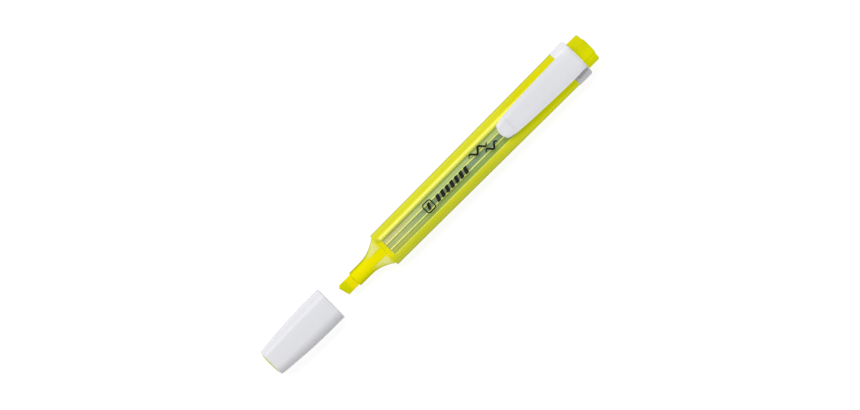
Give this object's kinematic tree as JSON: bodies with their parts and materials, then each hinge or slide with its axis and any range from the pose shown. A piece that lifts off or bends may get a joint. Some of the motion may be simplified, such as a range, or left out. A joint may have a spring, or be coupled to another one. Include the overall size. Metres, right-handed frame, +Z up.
{
  "type": "highlighter",
  "caption": "Flat pocket highlighter with a see-through barrel, slanted chisel nib, broad pocket clip and a tapered cap with a seal sleeve inside.",
  "frame": {"origin": "centre of the bottom of the box round the pen and its pulled-off cap, on the surface the pen lies on", "axes": "+X along the pen from the nib to the rear plug, +Z up through the pocket clip, +Y across the pen"},
  "size_m": [0.1592, 0.0156, 0.0136],
  "materials": {
    "clear_yellow_barrel": "gloss, see-through",
    "clear_yellow_holder": "gloss, milky see-through",
    "nib_fibre": "pressed fibre, ink-soaked",
    "reservoir_fibre": "bundled fibre",
    "reservoir_skin": "thin film",
    "yellow_plastic": "satin",
    "white_plastic": "satin"
  },
  "bodies": {
    "pen": {"barrel": "clear_yellow_barrel", "nib_holder": "clear_yellow_holder", "chisel_nib": "nib_fibre", "reservoir_core": "reservoir_fibre", "reservoir_film": "reservoir_skin", "rear_plug": "yellow_plastic", "clip_collar": "white_plastic"},
    "cap": {"cap_shell": "white_plastic", "inner_cap": "yellow_plastic"},
    "clip": {"pocket_clip": "white_plastic"}
  },
  "joints": [
    {"name": "cap_pull", "type": "slide", "parent": "pen", "child": "cap", "axis": [1, 0, 0], "range_m": [0, 0.02618]},
    {"name": "clip_flex", "type": "hinge", "parent": "pen", "child": "clip", "pos_m": [0.06651, 0, 0.01285], "axis": [0, 1, 0], "range_deg": [0, 4], "stiffness_Nm_per_rad": 0.6}
  ]
}
